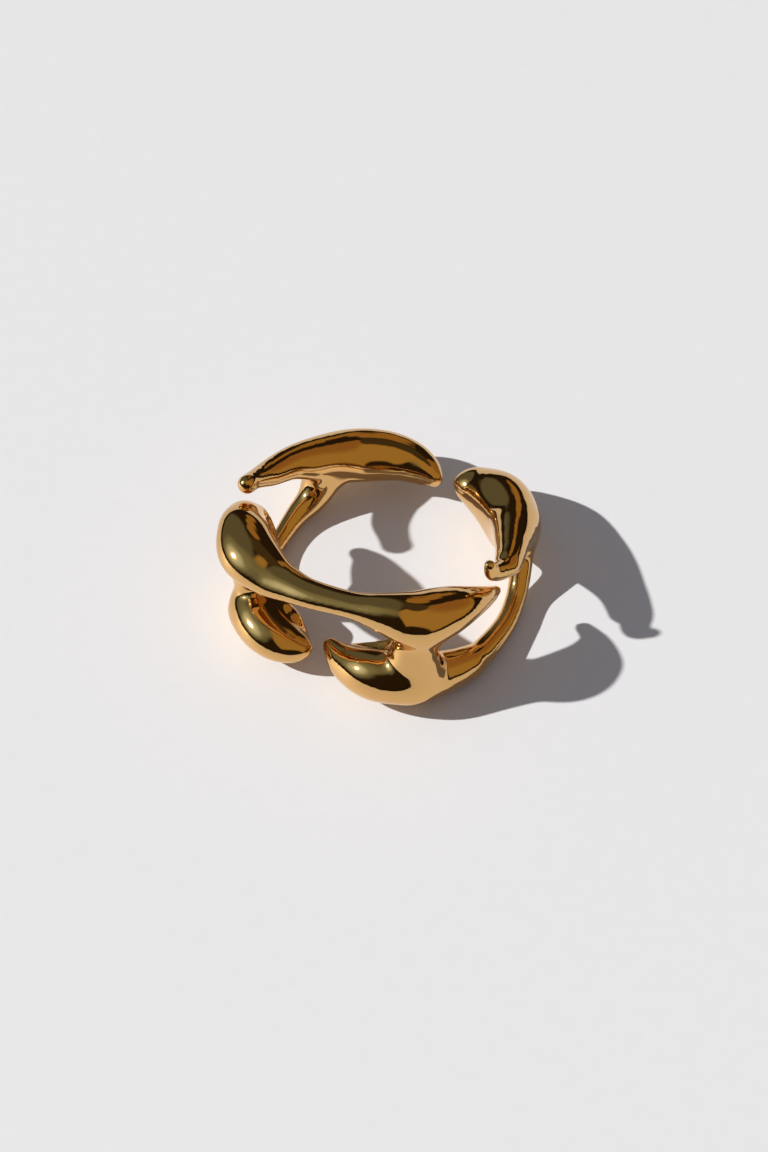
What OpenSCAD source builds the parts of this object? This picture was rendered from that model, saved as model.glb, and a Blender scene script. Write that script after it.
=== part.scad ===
// Cast ring whose band is five swollen claws, open between their tips, tied by thin struts and
// short roots into one solid piece. It lies on its side on the plane z = 0, as it rests by itself.
// Millimetres, +Z up. The Z axis goes up through the middle of the ring's box.

/* [Ring] */
// Diameter of the hole that takes the finger
finger_d = 17.3; // [16.3:0.1:19]
// Lean of the ring's own axis from upright, its top edge towards +Y
lean = 7; // [5:0.5:9]

/* [Casting] */
// Radius over which a claw, strut or root melts into the next one
root_blend = 0.9; // [0.7:0.05:1.1]
// Rounding of the edges where the finger hole trims the claws
hole_edge = 0.3; // [0.2:0.05:0.4]
// Radius over which a thin lip or bead melts into the roll beside it
lip_blend = 0.4; // [0.3:0.05:0.5]

/* [Hidden] */
gold = [0.83, 0.62, 0.28];
finger_r = finger_d / 2;

// Each table below is one roll of the casting, a row for each section along it. All the rolls of
// the band run anticlockwise.
// Columns: angle round the finger in degrees, counted from +X towards +Y,
//          distance of the section's centre outside the finger hole,
//          height of its centre above the ring's middle plane,
//          half-width across the band, half-height along the finger,
//          roll: degrees by which the section's outer side is turned up.
ANGLE = 0;
OUT = 1;
HIGH = 2;
WIDE = 3;
TALL = 4;
ROLL = 5;

// Claw at the back: a blunt right tip, a full body, a slim arm and a bead at its left tip
back_claw = [
    [64.5, 0.75, -0.5, 0.8, 0.8, 0],
    [72, 1.4, -0.5, 1.45, 1.3, 5],
    [81, 2, -0.4, 1.9, 1.6, 12],
    [92, 2.3, -0.3, 2.2, 1.85, 22],
    [105, 2.25, 0.05, 2.3, 1.85, 28],
    [120, 1.8, 1.15, 2, 1.6, 28],
    [136, 1.9, 2.35, 1.45, 1.15, 28],
    [151, 2.2, 3.15, 1.15, 0.95, 20],
    [161, 2.6, 4, 0.85, 0.8, 0],
    [167, 2.87, 4.5, 0.8, 0.8, 0],
];

// Strut from under the back claw down to the ground and along it to the left claw
back_strut = [
    [120, 1.75, -0.9, 1.7, 1.7, 0],
    [128, 1.25, -2.2, 1.3, 1.25, 0],
    [139, 1.15, -2.9, 0.95, 0.95, 0],
    [151, 1.05, -3.4, 0.8, 0.8, 0],
    [167, 1.25, -3.6, 0.8, 0.8, 0],
    [184, 1.85, -3.6, 1, 1, 0],
];

// Short claw low on the left, its tip towards the front
left_claw = [
    [194, 2.25, -3.2, 1.8, 1.8, 0],
    [204, 2.8, -3.05, 2.15, 2, 0],
    [212, 2.95, -3.1, 2.1, 1.85, 0],
    [219, 2.8, -3.2, 1.95, 1.65, -5],
    [225, 2.5, -3.3, 1.6, 1.35, -10],
    [229, 2.2, -3.3, 1.2, 1.05, -10],
    [232, 1.95, -3.25, 0.7, 0.65, 0],
];

// Its hollow inner side: a thinner wall that stands along the finger hole
left_scoop = [
    [200, 1.3, -3, 1.3, 1.4, 0],
    [209, 1, -3.1, 1.2, 1.2, 0],
    [216, 0.85, -3.1, 1.1, 1.1, 0],
    [221, 0.85, -3.7, 0.9, 0.9, 0],
    [226, 1.1, -3.9, 0.7, 0.7, 0],
];

// Root that carries the crown claw on the left claw
left_root = [
    [200, 3.05, -3.2, 1.6, 1.6, 0],
    [196, 2.75, -1.6, 1.3, 1.3, 0],
    [196, 2.85, 1.8, 1.7, 1.7, 0],
];

// Thin lip along the inner side of the crown claw's left arm
left_lip = [
    [172, 1.55, 2.1, 0.5, 0.45, 0],
    [176, 1.15, 1.9, 0.6, 0.6, 0],
    [182, 0.85, 1.5, 0.75, 0.85, 0],
    [188, 0.85, 1.1, 0.9, 1.2, 0],
    [195, 1.1, 0.6, 1.1, 1.3, 0],
];

// Long crown claw: a flat left tip, a swollen shoulder, a slim waist, a full leaf and a fine tip
crown_claw = [
    [169, 2.35, 2, 0.85, 0.6, 20],
    [173, 2.45, 2.55, 1.2, 0.8, 25],
    [180, 2.6, 3, 1.8, 1.25, 25],
    [189, 2.85, 3.4, 2.2, 1.6, 15],
    [200, 2.95, 3.15, 2.45, 1.85, -5],
    [214, 2.45, 3.05, 1.85, 1.2, -18],
    [225, 2.05, 3.2, 1.45, 0.95, -20],
    [236, 1.8, 3.35, 1.25, 0.85, -15],
    [257, 1.65, 3.45, 1.25, 0.95, 0],
    [273, 2.05, 3.1, 1.85, 1.7, 0],
    [283, 2.35, 2.6, 2.45, 2.1, 0],
    [294, 2.05, 2.4, 2.3, 1.8, 0],
    [306, 1.85, 2.1, 1.75, 1.2, 0],
    [320, 1.75, 1.15, 0.95, 0.7, 0],
    [330.5, 1.55, 0, 0.45, 0.45, 0],
];

// Root that carries the crown claw on the front claw, wide at its foot
front_root = [
    [284, 2.6, 1.1, 1.7, 1.7, 0],
    [281.5, 2.75, -0.7, 1.9, 1.9, 0],
    [282, 2.75, -2.2, 2.2, 2.2, 0],
    [281, 2.7, -3.3, 2.3, 2, 0],
];

// Claw low at the front, its tip towards the left
front_claw = [
    [242, 0.75, -3, 0.65, 0.65, 0],
    [252, 1.6, -3.4, 1.4, 1.45, 0],
    [264, 2.5, -3.3, 2.05, 2.05, 0],
    [275, 2.9, -3.3, 2.3, 2, 0],
    [286, 2.65, -3.75, 2.2, 1.75, 0],
    [296, 2.5, -4.1, 1.7, 1.4, 0],
    [306, 2.5, -4.35, 1.2, 1.15, 0],
];

// Thin lip along its inner side, over the finger hole
front_lip = [
    [250, 0.6, -3.2, 0.5, 0.5, 0],
    [258, 0.4, -2.8, 0.5, 0.6, 0],
    [268, 0.4, -2.3, 0.5, 0.6, 0],
    [278, 0.8, -2, 0.9, 0.9, 0],
];

// Strut from the front claw along the ground and up to the right claw
right_strut = [
    [293, 2.5, -4, 1.3, 1.3, 0],
    [303, 2.5, -4.3, 1.25, 1.2, 0],
    [314, 2.35, -4.5, 1.1, 1.1, 0],
    [334, 2.15, -4.4, 0.9, 0.9, 0],
    [350, 2.25, -3.9, 0.85, 0.85, 0],
    [360, 2.45, -2.6, 0.95, 0.95, 0],
    [368, 2.45, -1.3, 1.2, 1.2, 0],
    [375, 2.2, -0.7, 1.4, 1.4, 0],
];

// Claw on the right: a slim neck that rises towards the front, a full body and a blunt back tip
right_claw = [
    [337.5, 2.05, 2.25, 1.15, 1.1, 0],
    [341, 1.95, 2.15, 1.2, 1.1, 0],
    [347, 1.8, 1.95, 1.3, 1.15, 0],
    [354, 1.7, 1.55, 1.5, 1.35, 0],
    [365, 1.85, 0.75, 1.9, 1.85, 0],
    [376, 2.2, -0.35, 2.4, 2.55, 0],
    [391, 2.45, -0.6, 2.5, 2.4, 0],
    [403, 2.35, -0.95, 1.95, 1.8, 0],
    [407, 1.95, -0.8, 1.5, 1.4, 0],
    [409.5, 1.6, -0.6, 1, 0.95, 0],
];

// Small bead that stands up at the very end of the crest
right_bead = [
    [334, 2.25, 2.5, 0.95, 0.7, 0],
    [328, 2.05, 2.9, 0.8, 0.75, 0],
    [323.5, 1.95, 3.4, 0.6, 0.65, 0],
    [322.2, 1.85, 4.3, 0.5, 0.5, 0],
];

// Thin lip along the claw's inner side, over the finger hole
right_lip = [
    [391, 0.45, -0.45, 0.5, 0.5, 0],
    [375, 0.6, 0.1, 0.5, 0.5, 0],
    [366, 0.9, 0.7, 0.5, 0.5, 0],
    [357, 1, 1.1, 0.5, 0.5, 0],
    [348, 1.15, 1.55, 0.5, 0.5, 0],
    [341, 1.4, 1.9, 0.5, 0.5, 0],
];

// The limbs in their order round the finger, each with its rolls: a limb melts into the next one,
// and into no other
LIMBS = [
    [back_claw], [back_strut], [left_claw, left_scoop], [left_root, left_lip], [crown_claw],
    [front_root], [front_claw, front_lip], [right_strut], [right_claw, right_bead, right_lip]
];

// Pitch of the grid on which the skin is drawn, fine enough for the 1 mm gaps between the tips
pitch = 0.58;
// Number of straight stretches that stand for the curve between two sections
STRETCHES = 4;
// Least half-width that the curve may swing to beyond a tip
LEAST = 0.2;
// Small step over which the slope of the field is taken
SLOPE_STEP = 0.02;
// Distance round a limb within which the field is worked out, and the value beyond it
REACH = 1.8;
OUTSIDE = 9;
TINY = 1e-9;

// A section's centre, its two half sizes and its roll, as one list of six numbers
function placed(s) =
    let (r = finger_r + s[OUT])
    [r * cos(s[ANGLE]), r * sin(s[ANGLE]), s[HIGH], s[WIDE], s[TALL], s[ROLL]];

// Smooth curve through q1 and q2, with q0 before and q3 after them, at the fraction t of the way
function along(q0, q1, q2, q3, t) =
    0.5 * (2 * q1 + (q2 - q0) * t
        + (2 * q0 - 5 * q1 + 4 * q2 - q3) * t * t
        + (3 * q1 - q0 - 3 * q2 + q3) * t * t * t);

function no_thinner(q) = [q[0], q[1], q[2], max(q[3], LEAST), max(q[4], LEAST), q[5]];

// All points of a roll's curve
function curve(sections) =
    let (
        p = [for (s = sections) placed(s)],
        last = len(p) - 1,
        q = concat([2 * p[0] - p[1]], p, [2 * p[last] - p[last - 1]])
    )
    [
        for (i = [0:last - 1]) for (k = [0:STRETCHES - 1])
            no_thinner(along(q[i], q[i + 1], q[i + 2], q[i + 3], k / STRETCHES)),
        p[last]
    ];

// One straight stretch of a roll. Its parts, by name:
START = 0;
RUN = 1;
WIDTH = 2;
HEIGHT = 3;
UP = 4;
LOW = 5;
TOP = 6;
function stretch(a, b) =
    let (
        start = [a[0], a[1], a[2]],
        run = [b[0], b[1], b[2]] - start,
        level = [0, 0, 1] - run[2] / (run * run) * run,
        inward = cross(level, run) / norm(run),
        roll = (a[ROLL] + b[ROLL]) / 2,
        margin = REACH + max(a[3], a[4], b[3], b[4])
    )
    [
        start,
        run,
        [a[3], b[3] - a[3]],
        [a[4], b[4] - a[4]],
        (level * cos(roll) + inward * sin(roll)) / norm(level),
        [for (i = [0:2]) min(a[i], b[i]) - margin],
        [for (i = [0:2]) max(a[i], b[i]) + margin]
    ];

// About the distance of p outside a stretch's skin, below zero inside it
function beyond(p, s) =
    let (
        q = p - s[START],
        t = min(max(q * s[RUN] / (s[RUN] * s[RUN]), 0), 1),
        v = q - t * s[RUN],
        up = v * s[UP],
        side2 = max(v * v - up * up, 0),
        wide = s[WIDTH][0] + t * s[WIDTH][1],
        tall = s[HEIGHT][0] + t * s[HEIGHT][1],
        share = sqrt(side2 / (wide * wide) + up * up / (tall * tall)) + TINY
    )
    (norm(v) + TINY) * (1 - 1 / share);

// The lesser of two distances, with the corner between them filled over the radius k
function melt(a, b, k) = min(a, b) - pow(max(k - abs(a - b), 0), 2) / (4 * k);

// Those stretches of each limb's rolls whose box holds the value v of the given axis
function nearby(limbs, axis, v) =
    [for (l = limbs) [for (r = l) [for (s = r) if (s[LOW][axis] <= v && v <= s[TOP][axis]) s]]];

// About the distance of p outside one limb, its rolls melted together one after the other
function roll_distance(p, roll) =
    min([OUTSIDE, for (s = roll) if (s[LOW].z <= p.z && p.z <= s[TOP].z) beyond(p, s)]);
function limb_distance(p, rolls, last) =
    let (d = roll_distance(p, rolls[last]))
    last == 0 ? d : melt(limb_distance(p, rolls, last - 1), d, lip_blend);

// About the distance of p outside the whole casting, with the finger hole taken out
function casting(p, limbs) =
    let (
        d = [for (l = limbs) limb_distance(p, l, len(l) - 1)],
        joined = min([for (i = [0:len(d) - 2]) melt(d[i], d[i + 1], root_blend)])
    )
    -melt(-joined, norm([p.x, p.y]) - finger_r, hole_edge);

stretches = [
    for (limb = LIMBS) [
        for (sections = limb)
            let (c = curve(sections))
            [for (i = [0:len(c) - 2]) stretch(c[i], c[i + 1])]
    ]
];
low = [for (axis = [0:2]) min([for (l = stretches) for (r = l) for (s = r) s[LOW][axis]])];
high = [for (axis = [0:2]) max([for (l = stretches) for (r = l) for (s = r) s[TOP][axis]])];
cells = [for (axis = [0:2]) ceil((high[axis] - low[axis]) / pitch)];

// The casting's distance at every grid point
field = [
    for (i = [0:cells.x])
        let (x = low.x + i * pitch, slab = nearby(stretches, 0, x))
        [
            for (j = [0:cells.y])
                let (
                    y = low.y + j * pitch,
                    column = nearby(slab, 1, y),
                    crowd = max([for (l = column) for (r = l) len(r)])
                )
                [
                    for (k = [0:cells.z])
                        crowd == 0 ? OUTSIDE : casting([x, y, low.z + k * pitch], column)
                ]
        ]
];
function at(g) = field[g.x][g.y][g.z];
function solid(g) = at(g) < 0;

// The corners of a grid cell, and its edges as pairs of corners
AXES = [[1, 0, 0], [0, 1, 0], [0, 0, 1]];
CORNERS = [for (i = [0, 1]) for (j = [0, 1]) for (k = [0, 1]) [i, j, k]];
EDGES = [for (c = CORNERS) for (a = [0:2]) if (c[a] == 0) [c, c + AXES[a]]];

// The skin runs through the cells that have corners on both sides of it
function is_cut(g) =
    let (n = len([for (c = CORNERS) if (solid(g + c)) 1]))
    n > 0 && n < len(CORNERS);
cut_cells = [
    for (i = [0:cells.x - 1]) for (j = [0:cells.y - 1]) for (k = [0:cells.z - 1]) is_cut([i, j, k])
];
function cell(g) = (g.x * cells.y + g.y) * cells.z + g.z;
vertex = [
    for (c = 0, n = 0; c < len(cut_cells); n = cut_cells[c] ? n + 1 : n, c = c + 1)
        cut_cells[c] ? n : -1
];

// Each cut cell gives one vertex, the mean of the points where the skin crosses its edges
function crossing(a, b) = a + (b - a) * at(a) / (at(a) - at(b));
function cell_vertex(g) =
    let (
        hits = [
            for (e = EDGES) if (solid(g + e[0]) != solid(g + e[1])) crossing(g + e[0], g + e[1])
        ],
        ones = [for (h = hits) 1]
    )
    low + pitch * (ones * hits) / len(hits);

// A vertex then slides along the slope of the field onto the true skin
function slid(p) =
    let (
        limbs = nearby(nearby(stretches, 0, p.x), 1, p.y),
        d = casting(p, limbs),
        slope = [for (a = AXES) (casting(p + SLOPE_STEP * a, limbs) - d) / SLOPE_STEP],
        move = d / (slope * slope) * slope
    )
    p - move * min(1, pitch / 2 / (norm(move) + TINY));
skin = [
    for (i = [0:cells.x - 1]) for (j = [0:cells.y - 1]) for (k = [0:cells.z - 1])
        if (cut_cells[cell([i, j, k])]) slid(cell_vertex([i, j, k]))
];

// Each grid edge that the skin crosses gives two triangles between the four cells round it
function four_round(g, a) =
    let (u = AXES[(a + 1) % 3], w = AXES[(a + 2) % 3])
    [for (c = [g - u - w, g - w, g, g - u]) vertex[cell(c)]];
function split(q) =
    norm(skin[q[0]] - skin[q[2]]) < norm(skin[q[1]] - skin[q[3]])
        ? [[q[0], q[1], q[2]], [q[0], q[2], q[3]]]
        : [[q[0], q[1], q[3]], [q[1], q[2], q[3]]];
triangles = [
    for (i = [1:cells.x - 1]) for (j = [1:cells.y - 1]) for (k = [1:cells.z - 1])
        for (a = [0:2])
            let (g = [i, j, k], here = solid(g))
            if (here != solid(g + AXES[a]))
                let (q = four_round(g, a))
                each split(here ? [q[3], q[2], q[1], q[0]] : q)
];

// The ring leans over until it rests, and its box is centred on the Z axis
function leaned(p) = [p.x, p.y * cos(lean) + p.z * sin(lean), p.z * cos(lean) - p.y * sin(lean)];
rested = [for (p = skin) leaned(p)];
function span(axis) = [for (p = rested) p[axis]];
foot = [
    (min(span(0)) + max(span(0))) / 2,
    (min(span(1)) + max(span(1))) / 2,
    min(span(2))
];

module ring() {
    color(gold)
        translate(-foot)
            polyhedron(points = rested, faces = triangles, convexity = 12);
}

ring();
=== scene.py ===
# %% [markdown]
# # A cast gold ring
#
# The ring is one casting: five swollen claws, open between their tips, tied by thin struts and
# short roots. It lies on its side on a pale floor, the way such a ring rests when it is put down.
#
# The lesson builds the metal from a few short tables of sections, draws its skin as a fine mesh,
# gives it the finish of polished gold plate, and sets up the floor, the light and the camera.

# %% The frame
import functools
import math

import bpy
import numpy as np
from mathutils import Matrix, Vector


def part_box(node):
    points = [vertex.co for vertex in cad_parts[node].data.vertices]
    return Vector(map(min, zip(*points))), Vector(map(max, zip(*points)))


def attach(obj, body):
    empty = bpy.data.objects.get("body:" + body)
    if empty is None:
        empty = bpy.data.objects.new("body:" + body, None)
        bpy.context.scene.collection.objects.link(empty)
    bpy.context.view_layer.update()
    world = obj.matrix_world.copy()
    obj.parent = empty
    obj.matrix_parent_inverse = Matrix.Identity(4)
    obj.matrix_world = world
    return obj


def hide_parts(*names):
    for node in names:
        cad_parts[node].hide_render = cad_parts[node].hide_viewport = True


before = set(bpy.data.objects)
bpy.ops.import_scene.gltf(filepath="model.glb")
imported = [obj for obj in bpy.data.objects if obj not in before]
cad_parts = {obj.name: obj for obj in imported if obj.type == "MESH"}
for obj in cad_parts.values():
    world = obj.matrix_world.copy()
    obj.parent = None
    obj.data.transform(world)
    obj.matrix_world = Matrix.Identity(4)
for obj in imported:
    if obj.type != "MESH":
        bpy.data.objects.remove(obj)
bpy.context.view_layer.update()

# %% [markdown]
# ## Units
#
# Blender works in metres and a jeweller in millimetres. All sizes below are in millimetres, and
# one factor turns them to metres at the moment a mesh, a lamp or the camera is made.

# %% Units
MM = 0.001
print("a millimetre is", MM, "of a metre")

# %% [markdown]
# ## The limbs of the casting
#
# A ring like this starts as a wax model: each claw is a roll of wax, thick in its body and drawn
# out to a tip, bent round a mandrel. It could be sculpted freely in Blender, but a sculpt is hard
# to measure and to change. So each limb is described as the carver would: where its middle runs
# round the finger, how far it stands off the finger, how high it sits across the band, and how
# wide and tall it is there. A row is one section. Three to fifteen rows are enough for a roll,
# because a smooth curve joins them.

# %% What a row of a table says
FINGER_RADIUS = 17.3 / 2
# Columns: angle round the finger in degrees from +X towards +Y, stand-off of the middle from the
# finger hole, height over the ring's middle plane, half-width, half-height, and roll: how many
# degrees the outer side of the section is turned up
ANGLE, STAND_OFF, HEIGHT, HALF_WIDTH, HALF_HEIGHT, ROLL = range(6)


def describe(name, rows):
    """Prints how far a roll goes round the finger, and how wide it gets."""
    start, end = rows[0][ANGLE], rows[-1][ANGLE]
    widest = 2 * max(row[HALF_WIDTH] for row in rows)
    print(name + ":", len(rows), "sections, from", start, "to", end, "degrees,", widest, "mm wide")


print("finger hole:", 2 * FINGER_RADIUS, "mm across")

# %% [markdown]
# ## The back of the band
#
# The back claw rises from a blunt tip on the right to a bead on the left, high above the floor.
# Its roll column turns the outer side of the body up, so that it shows a broad face from above.
# Under the body hangs a strut, the way by which the molten metal could reach the claw. It goes
# down to the floor and along it to the left claw.

# %% The back claw and its strut
# A blunt right tip, a full body, a slim arm and a bead at its left tip
BACK_CLAW = [
    (64.5, 0.75, -0.5, 0.8, 0.8, 0),
    (72, 1.4, -0.5, 1.45, 1.3, 5),
    (81, 2.0, -0.4, 1.9, 1.6, 12),
    (92, 2.3, -0.3, 2.2, 1.85, 22),
    (105, 2.25, 0.05, 2.3, 1.85, 28),
    (120, 1.8, 1.15, 2.0, 1.6, 28),
    (136, 1.9, 2.35, 1.45, 1.15, 28),
    (151, 2.2, 3.15, 1.15, 0.95, 20),
    (161, 2.6, 4.0, 0.85, 0.8, 0),
    (167, 2.87, 4.5, 0.8, 0.8, 0),
]
# From under the claw down to the ground, and along it to the left claw
BACK_STRUT = [
    (120, 1.75, -0.9, 1.7, 1.7, 0),
    (128, 1.25, -2.2, 1.3, 1.25, 0),
    (139, 1.15, -2.9, 0.95, 0.95, 0),
    (151, 1.05, -3.4, 0.8, 0.8, 0),
    (167, 1.25, -3.6, 0.8, 0.8, 0),
    (184, 1.85, -3.6, 1.0, 1.0, 0),
]
describe("back claw", BACK_CLAW)
describe("back strut", BACK_STRUT)

# %% [markdown]
# ## The left of the band
#
# The left claw is short and swollen like a bean, and its inner side is hollowed. A second, slimmer
# roll along the finger hole gives that inner wall, which is simpler than carving a hollow out. On
# the claw's back stands a short root that carries the crown claw, and a thin lip runs up from it.

# %% The left claw and its root
# Short and low, its blunt tip towards the front
LEFT_CLAW = [
    (194, 2.25, -3.2, 1.8, 1.8, 0),
    (204, 2.8, -3.05, 2.15, 2.0, 0),
    (212, 2.95, -3.1, 2.1, 1.85, 0),
    (219, 2.8, -3.2, 1.95, 1.65, -5),
    (225, 2.5, -3.3, 1.6, 1.35, -10),
    (229, 2.2, -3.3, 1.2, 1.05, -10),
    (232, 1.95, -3.25, 0.7, 0.65, 0),
]
# Its hollow inner side: a thinner wall along the finger hole
LEFT_SCOOP = [
    (200, 1.3, -3.0, 1.3, 1.4, 0),
    (209, 1.0, -3.1, 1.2, 1.2, 0),
    (216, 0.85, -3.1, 1.1, 1.1, 0),
    (221, 0.85, -3.7, 0.9, 0.9, 0),
    (226, 1.1, -3.9, 0.7, 0.7, 0),
]
# The short post that carries the crown claw
LEFT_ROOT = [
    (200, 3.05, -3.2, 1.6, 1.6, 0),
    (196, 2.75, -1.6, 1.3, 1.3, 0),
    (196, 2.85, 1.8, 1.7, 1.7, 0),
]
# A thin lip along the inner side of the crown claw's left end
LEFT_LIP = [
    (172, 1.55, 2.1, 0.5, 0.45, 0),
    (176, 1.15, 1.9, 0.6, 0.6, 0),
    (182, 0.85, 1.5, 0.75, 0.85, 0),
    (188, 0.85, 1.1, 0.9, 1.2, 0),
    (195, 1.1, 0.6, 1.1, 1.3, 0),
]
describe("left claw", LEFT_CLAW)
describe("left scoop", LEFT_SCOOP)
describe("left root", LEFT_ROOT)
describe("left lip", LEFT_LIP)

# %% [markdown]
# ## The crown claw
#
# This is the ring's showpiece and its longest limb. It swells to a shoulder on the left, thins to
# a flat arm, swells again to a leaf and ends in a fine tip. It needs the most rows, since each
# swelling takes one row at its fullest and a few at each side. The roll turns from 25 to -20
# degrees along the shoulder and back to 0 along the arm, which makes the light run slantwise.

# %% The crown claw
# A flat tip, a swollen shoulder, a flat arm, a full leaf and a fine tip
CROWN_CLAW = [
    (169, 2.35, 2.0, 0.85, 0.6, 20),
    (173, 2.45, 2.55, 1.2, 0.8, 25),
    (180, 2.6, 3.0, 1.8, 1.25, 25),
    (189, 2.85, 3.4, 2.2, 1.6, 15),
    (200, 2.95, 3.15, 2.45, 1.85, -5),
    (214, 2.45, 3.05, 1.85, 1.2, -18),
    (225, 2.05, 3.2, 1.45, 0.95, -20),
    (236, 1.8, 3.35, 1.25, 0.85, -15),
    (257, 1.65, 3.45, 1.25, 0.95, 0),
    (273, 2.05, 3.1, 1.85, 1.7, 0),
    (283, 2.35, 2.6, 2.45, 2.1, 0),
    (294, 2.05, 2.4, 2.3, 1.8, 0),
    (306, 1.85, 2.1, 1.75, 1.2, 0),
    (320, 1.75, 1.15, 0.95, 0.7, 0),
    (330.5, 1.55, 0.0, 0.45, 0.45, 0),
]
describe("crown claw", CROWN_CLAW)

# %% [markdown]
# ## The front of the band
#
# Below the leaf a stout root stands on the front claw, which points to the left and almost meets
# the left claw. A thin lip along its inner side keeps a crisp edge over the finger hole.

# %% The front claw and its root
# The post that carries the crown claw, wide at its foot
FRONT_ROOT = [
    (284, 2.6, 1.1, 1.7, 1.7, 0),
    (281.5, 2.75, -0.7, 1.9, 1.9, 0),
    (282, 2.75, -2.2, 2.2, 2.2, 0),
    (281, 2.7, -3.3, 2.3, 2.0, 0),
]
# Low in front, its tip towards the left
FRONT_CLAW = [
    (242, 0.75, -3.0, 0.65, 0.65, 0),
    (252, 1.6, -3.4, 1.4, 1.45, 0),
    (264, 2.5, -3.3, 2.05, 2.05, 0),
    (275, 2.9, -3.3, 2.3, 2.0, 0),
    (286, 2.65, -3.75, 2.2, 1.75, 0),
    (296, 2.5, -4.1, 1.7, 1.4, 0),
    (306, 2.5, -4.35, 1.2, 1.15, 0),
]
# A thin lip along its inner side
FRONT_LIP = [
    (250, 0.6, -3.2, 0.5, 0.5, 0),
    (258, 0.4, -2.8, 0.5, 0.6, 0),
    (268, 0.4, -2.3, 0.5, 0.6, 0),
    (278, 0.8, -2.0, 0.9, 0.9, 0),
]
describe("front root", FRONT_ROOT)
describe("front claw", FRONT_CLAW)
describe("front lip", FRONT_LIP)

# %% [markdown]
# ## The right of the band
#
# A strut leaves the front claw along the floor and climbs to the right claw. That claw has a blunt
# tip at the back, a full body and a slim neck that ends in a small upright bead. The bead and the
# lip are rolls of their own, melted to the claw, because no single row of ellipses can turn such a
# sharp hook.

# %% The right claw and its strut
# From the front claw along the ground, and up to the right claw
RIGHT_STRUT = [
    (293, 2.5, -4.0, 1.3, 1.3, 0),
    (303, 2.5, -4.3, 1.25, 1.2, 0),
    (314, 2.35, -4.5, 1.1, 1.1, 0),
    (334, 2.15, -4.4, 0.9, 0.9, 0),
    (350, 2.25, -3.9, 0.85, 0.85, 0),
    (360, 2.45, -2.6, 0.95, 0.95, 0),
    (368, 2.45, -1.3, 1.2, 1.2, 0),
    (375, 2.2, -0.7, 1.4, 1.4, 0),
]
# A slim neck that rises towards the front, a full body and a blunt back tip
RIGHT_CLAW = [
    (337.5, 2.05, 2.25, 1.15, 1.1, 0),
    (341, 1.95, 2.15, 1.2, 1.1, 0),
    (347, 1.8, 1.95, 1.3, 1.15, 0),
    (354, 1.7, 1.55, 1.5, 1.35, 0),
    (365, 1.85, 0.75, 1.9, 1.85, 0),
    (376, 2.2, -0.35, 2.4, 2.55, 0),
    (391, 2.45, -0.6, 2.5, 2.4, 0),
    (403, 2.35, -0.95, 1.95, 1.8, 0),
    (407, 1.95, -0.8, 1.5, 1.4, 0),
    (409.5, 1.6, -0.6, 1.0, 0.95, 0),
]
# A small bead that stands up at the end of the neck
RIGHT_BEAD = [
    (334, 2.25, 2.5, 0.95, 0.7, 0),
    (328, 2.05, 2.9, 0.8, 0.75, 0),
    (323.5, 1.95, 3.4, 0.6, 0.65, 0),
    (322.2, 1.85, 4.3, 0.5, 0.5, 0),
]
# A thin lip along the claw's inner side
RIGHT_LIP = [
    (391, 0.45, -0.45, 0.5, 0.5, 0),
    (375, 0.6, 0.1, 0.5, 0.5, 0),
    (366, 0.9, 0.7, 0.5, 0.5, 0),
    (357, 1.0, 1.1, 0.5, 0.5, 0),
    (348, 1.15, 1.55, 0.5, 0.5, 0),
    (341, 1.4, 1.9, 0.5, 0.5, 0),
]
describe("right strut", RIGHT_STRUT)
describe("right claw", RIGHT_CLAW)
describe("right bead", RIGHT_BEAD)
describe("right lip", RIGHT_LIP)

# %% [markdown]
# ## The order of the limbs
#
# Each limb is one roll of wax, or a roll with one or two slighter ones beside it. The limbs stand
# in their order round the finger, because each is joined to the next and to no other. So two tips
# that come near each other, such as those of the left and the front claw, stay apart.

# %% The order of the limbs
LIMBS = [
    [BACK_CLAW], [BACK_STRUT], [LEFT_CLAW, LEFT_SCOOP], [LEFT_ROOT, LEFT_LIP], [CROWN_CLAW],
    [FRONT_ROOT], [FRONT_CLAW, FRONT_LIP], [RIGHT_STRUT], [RIGHT_CLAW, RIGHT_BEAD, RIGHT_LIP],
]
print("limbs:", len(LIMBS), "sections:", sum(len(rows) for limb in LIMBS for rows in limb))

# %% [markdown]
# ## From sections to a curve
#
# Wax bends in one sweep, with no corner at a section. A Catmull-Rom curve passes through every
# section and keeps its direction there. Position, thickness and roll go through the same curve,
# so a claw also swells, thins and turns smoothly. The curve is then cut into many close sections,
# each a small ellipsoid with its own direction "up".

# %% Close sections along each curve
STRETCHES = 12  # straight steps from one section to the next
LEAST_HALF_WIDTH = 0.2  # so that the curve can't swing to nothing beyond a tip


def placed(rows):
    """The rows with x and y in the place of angle and stand-off."""
    rows = np.array(rows, float)
    angle = np.radians(rows[:, ANGLE])
    radius = FINGER_RADIUS + rows[:, STAND_OFF]
    return np.column_stack([radius * np.cos(angle), radius * np.sin(angle), rows[:, HEIGHT:]])


def curve(rows):
    """Close rows on the Catmull-Rom curve; one more row beyond each end sets its direction."""
    points = placed(rows)
    q = np.vstack([2 * points[0] - points[1], points, 2 * points[-1] - points[-2]])
    t = np.linspace(0, 1, STRETCHES, endpoint=False)[:, None]
    spans = [
        0.5 * (2 * b + (c - a) * t + (2 * a - 5 * b + 4 * c - d) * t**2
               + (3 * b - a - 3 * c + d) * t**3)
        for a, b, c, d in zip(q[:-3], q[1:-2], q[2:-1], q[3:])
    ]
    return np.vstack(spans + [points[-1:]])


def unit(v):
    """The vectors v, each one long."""
    return v / np.linalg.norm(v, axis=-1, keepdims=True)


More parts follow.
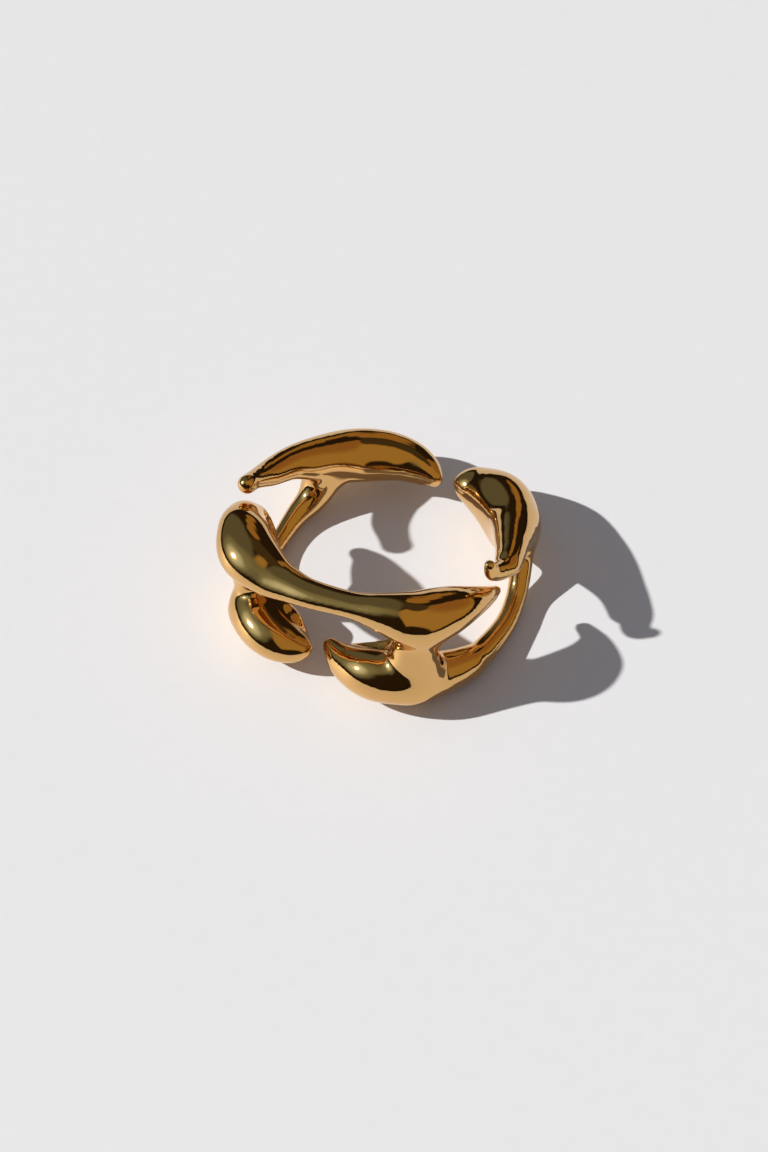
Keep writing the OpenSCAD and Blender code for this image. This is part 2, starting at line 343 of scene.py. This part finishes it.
def sections(rows):
    """Middles, up directions, half-widths and half-heights."""
    line = curve(rows)
    middle = line[:, :HALF_WIDTH]
    run = unit(np.gradient(middle, axis=0))
    level = unit(np.array([0, 0, 1.0]) - run[:, 2:] * run)
    roll = np.radians(line[:, ROLL:])
    up = level * np.cos(roll) - np.cross(run, level) * np.sin(roll)
    wide, tall = np.maximum(line[:, HALF_WIDTH:ROLL], LEAST_HALF_WIDTH).T
    return middle, up, wide, tall


SECTIONS = [[sections(rows) for rows in limb] for limb in LIMBS]
print("close sections:", sum(len(part[0]) for limb in SECTIONS for part in limb))

# %% [markdown]
# ## The metal as a distance
#
# Where limbs meet on the real ring there is no seam: the wax was warmed and smoothed into a soft
# fillet. Joining meshes with booleans would leave a sharp line there. Instead each point of space
# gets a number, its rough distance from the metal, and two limbs are joined by a minimum whose
# corner is filled. The same trick, turned round, takes out the finger hole and rounds its edges.

# %% Distance from the metal
ROOT_BLEND = 0.9  # fillet between two limbs
LIP_BLEND = 0.4  # fillet between the rolls of one limb
HOLE_EDGE = 0.3  # rounding where the finger hole trims a limb
OUTSIDE = 9.0  # what stands for far away
TINY = 1e-9  # keeps a division off zero


def beyond(v, up, wide, tall):
    """Rough distance of the offsets v outside the ellipsoid of one section."""
    rise = (v * up).sum(-1)
    length2 = (v * v).sum(-1)
    side2 = np.maximum(length2 - rise**2, 0)
    share = np.sqrt(side2 / wide**2 + rise**2 / tall**2) + TINY
    return (np.sqrt(length2) + TINY) * (1 - 1 / share)


def melt(a, b, k):
    """The lesser of two distances, with a fillet of about k where they are alike."""
    return np.minimum(a, b) - np.maximum(k - np.abs(a - b), 0) ** 2 / (4 * k)


def casting(limbs, p):
    """The distance from the whole ring, out of those from its rolls."""
    whole = [functools.reduce(lambda a, b: melt(a, b, LIP_BLEND), rolls) for rolls in limbs]
    joined = melt(whole[0], whole[1], ROOT_BLEND)
    for one, other in zip(whole[1:-1], whole[2:]):
        joined = np.minimum(joined, melt(one, other, ROOT_BLEND))
    hole = FINGER_RADIUS - np.hypot(p[..., 0], p[..., 1])
    return -melt(-joined, -hole, HOLE_EDGE)


print("two limbs that are both 1 mm away, melted:", melt(1.0, 1.0, ROOT_BLEND), "mm")


# %% [markdown]
# ## The distance on a grid
#
# To find the skin, the distance is worked out on a fine grid. Far from a limb it isn't needed, so
# each section only fills the small block of the grid round itself.

# %% Distance on a grid
PITCH = 0.29
REACH = 1.2  # how far from a limb the distance is worked out
DROP = 0.75  # of a cell, so that no two sheets of the skin pass through one cell
parts = [part for limb in SECTIONS for part in limb]
low = np.min([(middle - wide[:, None]).min(0) for middle, up, wide, tall in parts], axis=0) - REACH
high = np.max([(middle + wide[:, None]).max(0) for middle, up, wide, tall in parts], axis=0) + REACH
low[2] -= DROP * PITCH
count = np.ceil((high - low) / PITCH).astype(int) + 1
axes = [low[i] + PITCH * np.arange(count[i]) for i in range(3)]


def block(middle, size):
    """The part of the grid within size of a point."""
    first = np.floor((middle - size - low) / PITCH).astype(int).clip(0)
    last = np.ceil((middle + size - low) / PITCH).astype(int) + 1
    return tuple(slice(f, l) for f, l in zip(first, last))


def on_grid(part):
    """One roll's distance at every point of the grid."""
    grid = np.full(count, OUTSIDE)
    for middle, up, wide, tall in zip(*part):
        here = block(middle, max(wide, tall) + REACH)
        points = np.stack(np.meshgrid(*[x[s] for x, s in zip(axes, here)], indexing="ij"), -1)
        grid[here] = np.minimum(grid[here], beyond(points - middle, up, wide, tall))
    return grid


grids = [[on_grid(part) for part in limb] for limb in SECTIONS]
field = casting(grids, np.stack(np.meshgrid(*axes, indexing="ij"), -1))
print("grid points:", field.size, "inside the metal:", int((field < 0).sum()))

# %% [markdown]
# ## The skin
#
# Surface nets put one vertex in every grid cell that the skin passes through, at the mean of its
# crossings with the cell's edges, and one quad round every grid edge that it crosses. That gives
# even quads, which subdivide well.

# %% Surface nets
inside = field < 0
cells = tuple(n - 1 for n in count)
CORNERS = [(i, j, k) for i in (0, 1) for j in (0, 1) for k in (0, 1)]


def corner(values, c):
    """The grid's values at one corner of every cell."""
    return values[tuple(slice(o, o + n) for o, n in zip(c, cells))]


filled = sum(corner(inside, c).astype(int) for c in CORNERS)
cut = (filled > 0) & (filled < len(CORNERS))
number = np.full(cells, -1)
number[cut] = np.arange(cut.sum())
cell = np.argwhere(cut)

total = np.zeros((len(cell), 3))
hits = np.zeros(len(cell))
for axis in range(3):
    step = np.eye(3, dtype=int)[axis]
    for c in (np.array(c) for c in CORNERS if c[axis] == 0):
        a = field[tuple((cell + c).T)]
        b = field[tuple((cell + c + step).T)]
        crossed = (a < 0) != (b < 0)
        share = np.where(crossed, a / np.where(crossed, a - b, 1), 0)  # where the edge is cut
        total[crossed] += (cell + c + share[:, None] * step)[crossed]
        hits[crossed] += 1
skin = low + PITCH * total / hits[:, None]

quads = []
for axis in range(3):
    step, u, w = np.roll(np.eye(3, dtype=int), -axis, axis=0)
    here = inside[tuple(slice(1, n) for n in cells)]
    there = inside[tuple(slice(1 + s, n + s) for s, n in zip(step, cells))]
    for outward, which in ((True, here & ~there), (False, there & ~here)):
        g = np.argwhere(which) + 1
        ring_of_four = [number[tuple((g - o).T)] for o in (u + w, w, 0 * u, u)]
        quads.append(np.stack(ring_of_four if outward else ring_of_four[::-1], 1))
quads = np.vstack(quads)
print("skin:", len(skin), "vertices,", len(quads), "quads")

# %% [markdown]
# ## Polishing
#
# A mirror shows every flat between the carver's cuts, so the polisher rubs them out. The mesh gets
# the same care in two ways. Each vertex moves a little towards the mean of its neighbours, then a
# little back, which evens out the mesh and keeps its volume. Then it moves down the slope of the
# distance until it lies on the true skin. For that the distance has to be smooth along a limb, so
# it isn't the nearest section's own, but the lowest point of a parabola through three of them.

# %% Distance at the vertices, and polishing
SHRINK, SWELL, RUBS = 0.5, -0.53, 8
SLOPE_STEP = 0.02  # over which the slope of the distance is taken


def along(p, part):
    """Distance of the points from one roll, smooth from section to section."""
    middle, up, wide, tall = part
    d = np.full(len(p), OUTSIDE)
    margin = wide.max() + REACH
    near = np.all((p > middle.min(0) - margin) & (p < middle.max(0) + margin), axis=1)
    each = beyond(p[near, None] - middle, up, wide, tall)
    i = each.argmin(1).clip(1, len(middle) - 2)
    before, here, after = (each[np.arange(len(i)), i + o] for o in (-1, 0, 1))
    bend = np.maximum(before - 2 * here + after, TINY)
    shift = ((before - after) / (2 * bend)).clip(-1, 1)
    d[near] = here + shift * (after - before) / 2 + shift**2 * bend / 2
    return d


def distance(p):
    return casting([[along(p, part) for part in limb] for limb in SECTIONS], p)


def slid(points):
    """The points moved down the slope to the skin, by half a cell at the most."""
    d = distance(points)
    slope = np.stack([distance(points + SLOPE_STEP * e) - d for e in np.eye(3)], 1) / SLOPE_STEP
    move = (d / ((slope**2).sum(1) + TINY))[:, None] * slope
    reach = np.minimum(1, PITCH / 2 / (np.linalg.norm(move, axis=1) + TINY))
    print("mean distance from the true skin:", round(float(np.abs(d).mean()), 4), "mm")
    return points - move * reach[:, None]


links = np.vstack([quads[:, [i, (i + 1) % 4]] for i in range(4)])
links = np.vstack([links, links[:, ::-1]])
neighbours = np.bincount(links[:, 0], minlength=len(skin))[:, None]


def rubbed(points, amount):
    """Each point moved by a share of the way to the mean of its neighbours."""
    mean = np.column_stack([
        np.bincount(links[:, 0], points[links[:, 1], i], len(points)) for i in range(3)
    ]) / neighbours
    return points + amount * (mean - points)


for turn in range(RUBS):
    skin = rubbed(rubbed(skin, SHRINK), SWELL)
skin = slid(skin)

# %% [markdown]
# ## The ring lies down
#
# Laid on its side, the ring doesn't stand straight: it tips back until its low claws and struts
# touch the floor. The solid model rests the same way, and the mesh goes to the middle of the
# solid's box. One round of subdivision then halves every face, so that no flat shows in the
# reflections.

# %% Leaning and placing
LEAN = math.radians(7)
y, z = skin[:, 1].copy(), skin[:, 2].copy()
skin[:, 1] = y * math.cos(LEAN) + z * math.sin(LEAN)
skin[:, 2] = z * math.cos(LEAN) - y * math.sin(LEAN)
node_low, node_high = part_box("ring")
node_middle = np.array((node_low + node_high) / 2) / MM
skin_middle = (skin.min(0) + skin.max(0)) / 2
centre = np.append((node_middle - skin_middle)[:2], node_low.z / MM - skin[:, 2].min())
skin += centre

mesh = bpy.data.meshes.new("ring_skin")
mesh.from_pydata((skin * MM).tolist(), [], quads.tolist())
mesh.validate()
mesh.shade_smooth()
ring = bpy.data.objects.new("ring_casting", mesh)
bpy.context.collection.objects.link(ring)
subdivision = ring.modifiers.new("polish", "SUBSURF")
subdivision.levels = subdivision.render_levels = 1
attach(ring, "root")
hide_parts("ring")
print("ring mesh:", len(mesh.polygons), "faces, box mm:", (skin.max(0) - skin.min(0)).round(2))
print("middle of the finger hole, mm:", centre.round(3))

# %% [markdown]
# ## Helpers for materials
#
# Colours are written as the hex values that a colour picker shows, and one function turns them to
# the linear numbers that a shader works with. One small function adds a node, sets its settings
# and joins its inputs.

# %% Colour and node helpers
def linear(hex_colour):
    """The linear red, green, blue and alpha of a hex value."""
    shares = [int(hex_colour[i:i + 2], 16) / 255 for i in (1, 3, 5)]
    return (*[c / 12.92 if c <= 0.04045 else ((c + 0.055) / 1.055) ** 2.4 for c in shares], 1.0)


def add(tree, kind, inputs=None, **settings):
    """A node of that kind; an input's value is a number, a colour or another node's socket."""
    node = tree.nodes.new(kind)
    for key, value in settings.items():
        setattr(node, key, value)
    for key, value in (inputs or {}).items():
        if isinstance(value, bpy.types.NodeSocket):
            tree.links.new(value, node.inputs[key])
        else:
            node.inputs[key].default_value = value
    return node


def new_material(name):
    material = bpy.data.materials.new(name)
    material.use_nodes = True
    material.node_tree.nodes.clear()
    return material, material.node_tree


print("the middle grey #808080 in linear light:", round(linear("#808080")[0], 3))

# %% [markdown]
# ## Polished gold plate
#
# The casting is brass or silver under a few microns of gold, rubbed to a mirror on a felt wheel.
# Gold mirrors what is round it and tints it: red comes back almost whole and blue hardly at all,
# which is why a white floor looks cream in it and a grey sky olive. The polish isn't perfect. The
# wheel leaves very shallow waves a few millimetres long, which bend the reflected lines, and a
# faint haze of hairlines that softens the brightest glints.

# %% Polished gold plate
WAVE = 3.0 * MM
HAIRLINE = 0.15 * MM
HAZE_PATCH = 1.6 * MM
TONE_PATCH = 4.0 * MM
gold, tree = new_material("polished_gold_plate")
place = add(tree, "ShaderNodeTexCoord").outputs["Object"]

# Waves left by the wheel: about 3 mm long and a few microns deep
waves = add(tree, "ShaderNodeTexNoise",
            {"Vector": place, "Scale": 1 / WAVE, "Detail": 1.0, "Roughness": 0.4})
wave_bump = add(tree, "ShaderNodeBump",
                {"Height": waves.outputs["Fac"], "Strength": 0.25, "Distance": 0.03 * MM})

# Hairlines are finer than a pixel; drawn about 0.15 mm apart they show as a soft haze
stretched = add(tree, "ShaderNodeMapping", {"Vector": place, "Scale": (1.0, 1.0, 6.0)})
hairs = add(tree, "ShaderNodeTexNoise",
            {"Vector": stretched.outputs["Vector"], "Scale": 1 / HAIRLINE,
             "Detail": 3.0, "Roughness": 0.6})
hair_bump = add(tree, "ShaderNodeBump",
                {"Height": hairs.outputs["Fac"], "Strength": 0.05, "Distance": 0.004 * MM,
                 "Normal": wave_bump.outputs["Normal"]})

# Haze: patches a few millimetres across where the polish is a little duller
haze = add(tree, "ShaderNodeTexNoise",
           {"Vector": place, "Scale": 1 / HAZE_PATCH, "Detail": 4.0, "Roughness": 0.6})
dullness = add(tree, "ShaderNodeMapRange",
               {"Value": haze.outputs["Fac"], "From Min": 0.35, "From Max": 0.75,
                "To Min": 0.035, "To Max": 0.11})

# The plate is a little redder where it is thin
tone = add(tree, "ShaderNodeTexNoise", {"Vector": place, "Scale": 1 / TONE_PATCH, "Detail": 2.0})
plate = add(tree, "ShaderNodeMix",
            {"Factor": tone.outputs["Fac"], "A": linear("#DFB476"), "B": linear("#D9AA6A")},
            data_type="RGBA")
shader = add(tree, "ShaderNodeBsdfPrincipled",
             {"Base Color": plate.outputs["Result"], "Roughness": dullness.outputs["Result"],
              "Normal": hair_bump.outputs["Normal"], "Metallic": 1.0})
add(tree, "ShaderNodeOutputMaterial", {"Surface": shader.outputs["BSDF"]})
ring.data.materials.append(gold)
print("material:", gold.name, "with", len(tree.nodes), "nodes")

# %% [markdown]
# ## The floor
#
# A large sheet of white card, matt but for the faint sheen that a pressed paper has. Its white is
# what the ring mirrors over more than half of its skin, so it is kept a shade below pure white.
# The fibres give it a tone that wanders a little over every millimetre or two.

# %% The floor
FLOOR_SIDE = 4000 * MM
FIBRE_PATCH = 1.5 * MM
card, tree = new_material("matt_white_card")
place = add(tree, "ShaderNodeTexCoord").outputs["Object"]
fibre = add(tree, "ShaderNodeTexNoise", {"Vector": place, "Scale": 1 / FIBRE_PATCH, "Detail": 3.0})
white = add(tree, "ShaderNodeMix",
            {"Factor": fibre.outputs["Fac"], "A": linear("#EFEFF0"), "B": linear("#F2F2F3")},
            data_type="RGBA")
shader = add(tree, "ShaderNodeBsdfPrincipled",
             {"Base Color": white.outputs["Result"], "Roughness": 0.6, "Specular IOR Level": 0.5})
add(tree, "ShaderNodeOutputMaterial", {"Surface": shader.outputs["BSDF"]})

half = FLOOR_SIDE / 2
floor_mesh = bpy.data.meshes.new("floor")
floor_corners = [(-half, -half, 0), (half, -half, 0), (half, half, 0), (-half, half, 0)]
floor_mesh.from_pydata(floor_corners, [], [(0, 1, 2, 3)])
floor_mesh.materials.append(card)
floor = bpy.data.objects.new("floor", floor_mesh)
bpy.context.collection.objects.link(floor)
floor.location.z = node_low.z
print("floor:", FLOOR_SIDE, "m across, at height", floor.location.z)

# %% [markdown]
# ## Light
#
# One key light from the left, 36 degrees above the floor, throws the long shadow to the right. It
# is as far away as the sun, and a little wider, for a softer edge.

# %% Key light
TO_KEY = Vector((-1.373, -0.056, 1.0)).normalized()
KEY_STRENGTH = 4.0
KEY_WIDTH = math.radians(1.2)
key_data = bpy.data.lights.new("key", "SUN")
key_data.energy = KEY_STRENGTH
key_data.angle = KEY_WIDTH
key_data.color = linear("#FFFEFC")[:3]
key = bpy.data.objects.new("key", key_data)
key.rotation_mode = "QUATERNION"
key.rotation_quaternion = TO_KEY.to_track_quat("Z", "Y")
bpy.context.collection.objects.link(key)
print("key light:", round(math.degrees(math.asin(TO_KEY.z)), 1), "degrees above the floor")

# %% [markdown]
# ## A room painted by direction
#
# A mirror has no look of its own: it shows the room. Walls and screens could be modelled for it,
# but a world shader that looks at the direction only is quicker to light and to change. Each part
# of the room is a round patch of paint, laid over the ones before it, that fades out between two
# angles from its middle. A patch of 90 degrees is half the room, and its edge shows as one long
# clean line in the metal.

# %% Painting by direction
world = bpy.data.worlds.new("studio")
bpy.context.scene.world = world
world.use_nodes = True
tree = world.node_tree
tree.nodes.clear()
toward = add(tree, "ShaderNodeTexCoord").outputs["Generated"]


def compass(azimuth, elevation):
    """The direction that many degrees round from +X towards +Y, and that many above the floor."""
    a, e = math.radians(azimuth), math.radians(elevation)
    return math.cos(e) * math.cos(a), math.cos(e) * math.sin(a), math.sin(e)


def facing(direction, start, end):
    """1 where the view goes within `start` degrees of a direction, 0 beyond `end` degrees."""
    middle = Vector(direction).normalized()
    dot = add(tree, "ShaderNodeVectorMath", {0: toward, 1: middle}, operation="DOT_PRODUCT")
    share = add(tree, "ShaderNodeMapRange",
                {"Value": dot.outputs["Value"], "From Min": math.cos(math.radians(end)),
                 "From Max": math.cos(math.radians(start))}, interpolation_type="SMOOTHSTEP")
    return share.outputs["Result"]


print("45 degrees up over +Y points to", [round(v, 2) for v in compass(90, 45)])

# %% [markdown]
# ## The studio round the ring
#
# The room is plain: a warm tan wall on the right, dark behind and down by the floor, and a large
# cool diffuser on the left round the key light, brightest in its middle. The diffuser turns olive
# in the gold, the wall amber, and the dark gaps give the black lines that make polished metal
# look wet.

# %% Studio surroundings
DIM = "#2A221A"
STRIP = "#A08048"
TO_DIFFUSER = (-0.81, -0.05, 0.59)
# Columns: colour, direction of the patch's middle, and the two angles between which it fades out
PATCHES = [
    # The tan wall fills the right half of the room, and a redder screen stands before it
    ("#AC9256", (1.0, -0.02, 0.2), 90, 95),
    ("#977242", compass(42, 34), 6, 30),
    # The left and back half is dark, but for a narrow warm strip of three patches, one above the
    # other, under a dim ceiling
    (DIM, (-0.7, 0.7, -0.1), 86, 89),
    (STRIP, compass(76, 14), 5, 8),
    (STRIP, compass(76, 26), 5, 8),
    (STRIP, compass(76, 38), 5, 8),
    ("#463F30", compass(68, 60), 11, 17),
    # A dark corner in front
    (DIM, (0.16, -1.0, 0.2), 24, 33),
    # The diffuser: its dim far cloth, the part overhead, and the bright middle in three steps
    ("#626860", (-0.71, 0.41, 0.57), 42, 50),
    ("#7E8474", compass(192, 64), 4, 22),
    ("#8E9A90", TO_DIFFUSER, 16, 38),
    ("#CFE6F0", TO_DIFFUSER, 10, 24),
    ("#F0F8FF", TO_DIFFUSER, 4, 12),
]
# A dark skirting runs all round, between these heights of a direction one long
SKIRTING_TOP, SKIRTING_FULL = 0.20, 0.12
rise = add(tree, "ShaderNodeSeparateXYZ", {"Vector": toward}).outputs["Z"]
skirting = add(tree, "ShaderNodeMapRange",
               {"Value": rise, "From Min": SKIRTING_TOP, "From Max": SKIRTING_FULL},
               interpolation_type="SMOOTHSTEP")
# Matt things are lit by the whole room at once, so for them its average is enough
light_path = add(tree, "ShaderNodeLightPath")

layers = [(colour, facing(direction, start, end)) for colour, direction, start, end in PATCHES]
layers.append(("#241D17", skirting.outputs["Result"]))
layers.append(("#76767C", light_path.outputs["Is Diffuse Ray"]))
room = linear(DIM)
for colour, share in layers:
    mixed = add(tree, "ShaderNodeMix", {"Factor": share, "A": room, "B": linear(colour)},
                data_type="RGBA")
    room = mixed.outputs["Result"]
sky = add(tree, "ShaderNodeBackground", {"Color": room, "Strength": 1.0})
add(tree, "ShaderNodeOutputWorld", {"Surface": sky.outputs["Background"]})
print("room:", len(layers), "layers of paint")

# %% [markdown]
# ## Camera
#
# A long lens, 300 mm away and 53 degrees above the floor, as in the photograph. The frame is
# 768 by 1152 pixels, and a millimetre at the ring is 12.1 of them. The camera looks at a place on
# the floor that is given from the middle of the finger hole.

# %% Camera
ELEVATION = math.radians(53)
DISTANCE = 300
PIXELS_PER_MM = 12.1
FRAME_HEIGHT = 1152
SENSOR = 36
CLIP_START = 10
FROM_HOLE_TO_AIM = (-0.107, 0.356, -4.547)
aim = Vector(centre) + Vector(FROM_HOLE_TO_AIM)
back = Vector((0, -math.cos(ELEVATION), math.sin(ELEVATION)))
camera_data = bpy.data.cameras.new("camera")
camera_data.sensor_width = SENSOR
camera_data.lens = PIXELS_PER_MM * DISTANCE * SENSOR / FRAME_HEIGHT
camera_data.clip_start = CLIP_START * MM
camera = bpy.data.objects.new("camera", camera_data)
camera.location = (aim + DISTANCE * back) * MM
camera.rotation_mode = "QUATERNION"
camera.rotation_quaternion = back.to_track_quat("Z", "Y")
bpy.context.collection.objects.link(camera)
bpy.context.scene.camera = camera
bpy.context.scene.view_settings.view_transform = "Standard"
print("lens:", round(camera_data.lens, 1), "mm")
